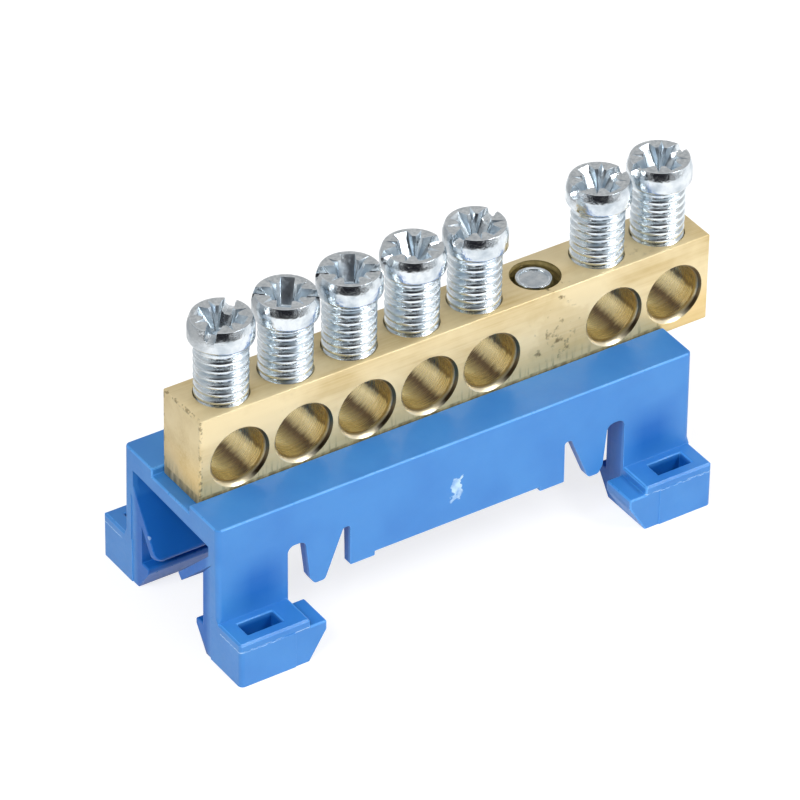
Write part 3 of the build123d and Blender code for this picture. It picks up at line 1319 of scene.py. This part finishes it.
@dataclass
class FixingScrew:
    """The screw that holds the bar: a threaded shank with a plain dog point and a slotted head below."""

    head_height: float = 1.9
    head_round: float = 0.8
    slot_width: float = 1.0
    slot_depth: float = 0.9
    slot_reach: float = 6.0
    dog_radius: float = 1.72
    dog_length: float = 1.3
    tip_round: float = 0.42
    tip_drop: float = 0.26
    tip_sink: float = 0.17
    tip_steps: int = 6
    lean: float = 0.2
    taper_length: float = 0.5
    thread_run_out: float = 0.4
    crease: float = 32.0
    columns: int = 96
    thread: Thread = field(default_factory=lambda: Thread(crest=2.25, root=1.95))

    def build(self, finishes: Finishes) -> bpy.types.Object:
        """Make the screw at its node's place.

        Args:
            finishes: The materials.

        Returns:
            The piece.
        """
        low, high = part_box("fixing_screw")
        radius = (high.x - low.x) / 2 / MM
        height = (high.z - low.z) / MM
        rows = []
        for turn in quarter(5):
            inset = self.head_round * (1 - math.sin(turn))
            rows.append((radius - inset, self.head_round * (1 - math.cos(turn))))
        rows += [(radius, self.head_height), (self.thread.crest + 0.01, self.head_height)]
        shoulder = height - self.dog_length - self.taper_length
        rows += [(self.thread.crest, z) for z in self.thread.heights(self.head_height + 0.1, shoulder)]
        rows += [(self.dog_radius, height - self.dog_length)]
        crown = self.dog_radius - self.tip_round / 2
        half_steps = self.tip_steps // 2
        for step in range(self.tip_steps + 1):
            turn = math.pi * step / self.tip_steps
            side = self.tip_round / 2 * math.cos(turn)
            drop = self.tip_drop if step <= half_steps else self.tip_sink
            rows.append((crown + side, height - drop * (1 - math.sin(turn))))
        rows.append((crown - self.tip_round / 2 - 0.02, height - self.tip_sink))

        def threaded(ring: float, angle: float, z: float) -> float:
            """Radius of a ring's point, threaded along the shank.

            Args:
                ring: The ring's radius.
                angle: Angle about the axis.
                z: Height along the axis.

            Returns:
                The radius.
            """
            if abs(ring - self.thread.crest) > TINY:
                return ring
            return self.thread.radius(angle, z, 1 - fade(z, shoulder - self.thread_run_out, shoulder))

        middle = node_middle("fixing_screw")
        stand = Matrix.Translation((middle.x / MM, middle.y / MM, low.z / MM))
        solid = turned(rows, self.columns, threaded)
        for vert in solid.verts:
            vert.co.x -= self.lean * fade(vert.co.z, shoulder, height - self.dog_length)
        piece = add_object("bar_fixing_screw", place(solid, stand))
        half = self.slot_width / 2
        slot = hull([(x, y, z) for x in (-self.slot_reach, self.slot_reach) for y in (-half, half)
                     for z in (-1, self.slot_depth)])
        combine(piece, add_object("slot", place(slot, stand)), Operation.CUT)
        smooth(piece, self.crease)
        dress(piece.data, finishes.zinc, finishes.dulled)
        for face in piece.data.polygons:
            if face.normal.z > SQUARE_ON and face.center.z > high.z - 0.01 * MM:
                face.material_index = ScrewFace.END
        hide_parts("fixing_screw")
        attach(piece, HOLDER_BODY)
        return piece


@dataclass
class BrassBar:
    """The drilled bar, with bevelled bore mouths and one open tapped hole.

    The funnel holds, from a mouth inwards, how much wider than the bore it is and how deep that lies.
    """

    node: str = "brass_bar"
    edge_radius: float = 0.14
    bore_radius: float = 2.65
    mouth_bevel: float = 0.35
    bore_height: float = 3.9
    screw_hole_radius: float = 2.5
    funnel: tuple[tuple[float, float], ...] = ((0.35, 0.0), (0.14, 0.19), (0.05, 0.38), (0.0, 0.65))
    columns: int = 96
    crease: float = 30.0
    wall_slope: float = 0.1
    mouth_slope: float = 0.75
    upright_slope: float = 0.9
    hole_thread: Thread = field(default_factory=lambda: Thread(crest=2.38, root=2.27, sharpness=1.0))

    def blank(self) -> bpy.types.Object:
        """The plain bar with softened edges."""
        low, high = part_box(self.node)
        bm = bmesh.new()
        bmesh.ops.create_cube(bm, size=1.0)
        size = high - low
        move = Matrix.Translation((low + high) / 2) @ Matrix.Diagonal((*size, 1.0))
        bmesh.ops.transform(bm, matrix=move, verts=bm.verts)
        bmesh.ops.bevel(bm, geom=bm.edges, offset=self.edge_radius * MM, segments=3, profile=0.5,
                        affect="EDGES")
        return add_object("drilled_bar", bm)

    def bore(self, x: float, z: float, half: float) -> bpy.types.Object:
        """Cutter for one wire bore.

        Args:
            x: Place along the bar in metres.
            z: Height of the bore's axis in metres.
            half: Half the bar's width in millimetres.

        Returns:
            The cutter.
        """
        over = 0.5
        mouth = self.bore_radius + self.mouth_bevel + over
        steps = [(mouth, -over)] + [(self.bore_radius + wide, deep) for wide, deep in self.funnel]
        rows = [(wide, deep - half) for wide, deep in steps]
        rows += [(wide, half - deep) for wide, deep in reversed(steps)]
        lay = Matrix.Translation((x / MM, 0, z / MM)) @ Matrix.Rotation(math.pi / 2, 4, "X")
        return add_object("bore", place(turned(rows, self.columns), lay))

    def hole(self, x: float, low: float, high: float) -> bpy.types.Object:
        """Cutter for a plain upright hole.

        Args:
            x: Place along the bar in metres.
            low: Height of its lower end in metres.
            high: Height of its upper end in metres.

        Returns:
            The cutter.
        """
        rows = [(self.screw_hole_radius, low / MM), (self.screw_hole_radius, high / MM)]
        return add_object("hole", place(turned(rows, self.columns), Matrix.Translation((x / MM, 0, 0))))

    def tapped_hole(self, x: float, low: float, high: float) -> bpy.types.Object:
        """Cutter for the open tapped hole.

        Args:
            x: Place along the bar in metres.
            low: Height of its lower end in metres.
            high: Height of its upper end in metres.

        Returns:
            The cutter.
        """
        rows = [(self.hole_thread.crest, z) for z in self.hole_thread.heights(low / MM, high / MM)]

        def threaded(_: float, angle: float, z: float) -> float:
            """Radius of the tapped wall."""
            return self.hole_thread.radius(angle, z, 1.0)

        solid = turned(rows, self.columns, threaded)
        return add_object("tapped", place(solid, Matrix.Translation((x / MM, 0, 0))))

    def build(self, finishes: Finishes) -> bpy.types.Object:
        """Drill the bar and let it stand for the node.

        Args:
            finishes: The materials.

        Returns:
            The piece.
        """
        low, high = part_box(self.node)
        half = (high.y - low.y) / 2 / MM
        axis_z = low.z + self.bore_height * MM
        piece = self.blank()
        bores = [node_middle(f"terminal_screw_{number}").x for number in range(1, 8)]
        for x in bores:
            combine(piece, self.bore(x, axis_z, half), Operation.CUT)
            combine(piece, self.hole(x, axis_z, high.z + MM), Operation.CUT)
        fixing_x = node_middle("fixing_screw").x
        combine(piece, self.tapped_hole(fixing_x, low.z - MM, high.z + MM), Operation.CUT)
        dress(piece.data, finishes.brass, finishes.bored, finishes.tapped, finishes.mouth)
        inside = (self.bore_radius + self.mouth_bevel - 0.02) * MM
        for face in piece.data.polygons:
            near = any(math.hypot(face.center.x - x, face.center.z - axis_z) < inside for x in bores)
            upright = abs(face.center.x - fixing_x) < inside and abs(face.normal.z) < self.upright_slope
            slope = abs(face.normal.y)
            if near and slope < self.mouth_slope:
                face.material_index = BarFace.MOUTH if slope > self.wall_slope else BarFace.BORED
            elif upright and abs(face.center.y) < inside and slope < SQUARE_ON:
                face.material_index = BarFace.TAPPED
        smooth(piece, self.crease)
        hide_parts(self.node)
        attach(piece, HOLDER_BODY)
        return piece


@dataclass
class Lamp:
    """A soft rectangular lamp aimed at the object."""

    name: str
    azimuth: float
    elevation: float
    distance: float
    size: tuple[float, float]
    power: float
    seen_in_metal: bool = True

    def build(self, target: Vector) -> None:
        """Place the lamp.

        Args:
            target: The point it is aimed at, in metres.
        """
        light = bpy.data.lights.new(self.name, "AREA")
        light.shape = "RECTANGLE"
        light.size, light.size_y = self.size
        light.energy = self.power
        lamp = bpy.data.objects.new(self.name, light)
        bpy.context.scene.collection.objects.link(lamp)
        back = direction(self.azimuth, self.elevation)
        lamp.location = target + back * self.distance
        lamp.rotation_euler = back.to_track_quat("Z", "Y").to_euler()
        lamp.visible_glossy = self.seen_in_metal


def direction(azimuth: float, elevation: float) -> Vector:
    """Unit vector from the object towards a viewer at an azimuth and elevation in degrees."""
    a, e = math.radians(azimuth), math.radians(elevation)
    return Vector((math.sin(a) * math.cos(e), -math.cos(a) * math.cos(e), math.sin(e)))


@dataclass
class Studio:
    """Pale floor, soft light, surroundings and the camera."""

    camera_azimuth: float = -33.89
    camera_elevation: float = 35.93
    camera_roll: float = 0.99
    camera_distance: float = 0.551
    camera_target: Triple = (-3.69, -0.15, 14.67)
    lens: float = 283.6
    sensor: float = 36.0
    clip: tuple[float, float] = (0.01, 20.0)
    ambient: float = 0.42
    floor_size: float = 3.0
    floor_colour: tuple[float, float, float, float] = (0.86, 0.86, 0.86, 1.0)
    floor_seen: tuple[float, float, float, float] = (0.36, 0.36, 0.36, 1.0)
    floor_glow: float = 0.76
    past_table: float = 0.06
    table_reach: float = 0.08
    left_azimuth: float = -140.0
    left_reach: float = 0.02
    left_dim: float = 0.6
    sky: tuple[tuple[float, float], ...] = (
        (0.0, 1.0), (0.5, 1.0), (0.62, 0.8), (0.74, 0.52), (0.86, 0.46), (0.94, 0.85), (1.0, 0.95))
    viewer_drop: float = 4.0
    viewer_edge: tuple[float, float] = (0.62, 0.8)
    viewer_shade: tuple[float, float, float, float] = (0.015, 0.015, 0.02, 1.0)
    lamps: tuple[Lamp, ...] = (
        Lamp("key", 37.5, 42.0, 0.6, (0.22, 0.22), 1.5),
        Lamp("side", -66.0, 44.0, 0.6, (0.3, 0.3), 2.1, False),
        Lamp("front", -2.0, 12.0, 0.6, (0.3, 0.2), 0.8, False),
        Lamp("back", 140.0, 40.0, 0.7, (0.25, 0.15), 0.5, False),
    )

    def floor(self) -> None:
        """Wide pale floor that shows white and keeps the object's shadow."""
        bm = bmesh.new()
        bmesh.ops.create_grid(bm, x_segments=1, y_segments=1, size=self.floor_size)
        piece = add_object("floor", bm)
        graph = Graph("pale floor")
        graph.set(Base_Color=self.floor_colour, Roughness=0.9, Specular_IOR_Level=0.0)
        pale = graph.add("BsdfDiffuse", {"Color": self.floor_seen}).outputs[0]
        glow = graph.add("Emission", {"Strength": self.floor_glow}).outputs[0]
        dark = graph.add("Emission", {"Strength": self.past_table}).outputs[0]
        shown = graph.add("AddShader", {0: pale, 1: glow}).outputs[0]
        near = graph.mix(self.seen_directly(graph), graph.shader.outputs[0], shown)
        surface = graph.mix(self.table_end(graph), near, dark)
        graph.fill(graph.tree.nodes["Material Output"].inputs["Surface"], surface)
        piece.data.materials.append(graph.material)

    def table_end(self, graph: Graph) -> Source:
        """Value that is 1 for mirror rays that meet the floor past the table's end, less so on its far left.

        Args:
            graph: The floor's node tree.

        Returns:
            The value.
        """
        ahead = graph.along(graph.place, direction(self.camera_azimuth, 0.0))
        left = graph.along(graph.place, direction(self.left_azimuth, 0.0))
        edge = graph.band(ahead, self.table_reach, self.table_reach * 1.8)
        dim = graph.band(left, self.left_reach, self.left_reach * 3, 0.0, self.left_dim)
        return graph.times(graph.most(edge, dim), graph.add("LightPath").outputs["Is Glossy Ray"])

    def seen_directly(self, graph: Graph) -> Source:
        """Value that is 1 for rays from the camera, from a mirror or through glass."""
        rays = graph.add("LightPath").outputs
        return graph.most(rays["Is Camera Ray"], rays["Is Glossy Ray"], rays["Is Transmission Ray"])

    def surroundings(self) -> None:
        """World: even light on the object, white to the camera, and a grey room in the metal."""
        world = bpy.data.worlds.new("studio")
        bpy.context.scene.world = world
        world.use_nodes = True
        world.node_tree.nodes.clear()
        sky = Nodes(world.node_tree)
        rays = sky.add("LightPath").outputs
        way = sky.add("TexCoord").outputs["Generated"]
        rise = sky.band(sky.add("SeparateXYZ", {0: way}).outputs["Z"], -1.0, 1.0)
        ramp = sky.add("ValToRGB", {"Fac": rise})
        stops = ramp.color_ramp.elements
        stops[0].position, stops[1].position = self.sky[0][0], self.sky[-1][0]
        for position, _ in self.sky[1:-1]:
            stops.new(position)
        for stop, (_, value) in zip(stops, self.sky):
            stop.color = (value, value, value, 1.0)
        toward = sky.along(way, direction(self.camera_azimuth, self.camera_elevation - self.viewer_drop))
        shade = sky.blend(sky.band(toward, *self.viewer_edge), ramp.outputs["Color"], self.viewer_shade)
        even = sky.add("Background", {"Strength": self.ambient}).outputs[0]
        room = sky.add("Background", {"Color": shade}).outputs[0]
        white = sky.add("Background", {"Color": (1.0, 1.0, 1.0, 1.0)}).outputs[0]
        metal = sky.mix(rays["Is Glossy Ray"], even, room)
        sky.add("OutputWorld", {"Surface": sky.mix(rays["Is Camera Ray"], metal, white)})

    def camera(self, target: Vector) -> None:
        """Camera at the photograph's angle, distance and framing.

        Args:
            target: The point it is aimed at, in metres.
        """
        data = bpy.data.cameras.new("camera")
        data.lens = self.lens
        data.sensor_width = self.sensor
        data.sensor_fit = "HORIZONTAL"
        data.clip_start, data.clip_end = self.clip
        camera = bpy.data.objects.new("camera", data)
        bpy.context.scene.collection.objects.link(camera)
        back = direction(self.camera_azimuth, self.camera_elevation)
        right = direction(self.camera_azimuth + 90.0, 0.0)
        up = back.cross(right)
        roll = math.radians(self.camera_roll)
        side = math.cos(roll) * right + math.sin(roll) * up
        top = math.cos(roll) * up - math.sin(roll) * right
        turn = Matrix((side, top, back)).transposed().to_4x4()
        camera.matrix_world = Matrix.Translation(target + back * self.camera_distance) @ turn
        bpy.context.scene.camera = camera

    def build(self) -> None:
        """Set up everything around the object."""
        target = Vector(self.camera_target) * MM
        self.floor()
        self.surroundings()
        self.camera(target)
        for lamp in self.lamps:
            lamp.build(target)
        bpy.context.scene.view_settings.view_transform = "Standard"


def main() -> None:
    """Build the scene's classes in order and report each piece."""
    logging.basicConfig(level=logging.INFO, format="%(message)s")
    finishes = Finishes()
    pieces = [RailHolder().build(finishes), BrassBar().build(finishes)]
    pieces += ScrewSet().build(finishes)
    pieces.append(FixingScrew().build(finishes))
    for piece in pieces:
        log.info("%s: %d faces", piece.name, len(piece.data.polygons))
    Studio().build()


if __name__ == "__main__":
    main()
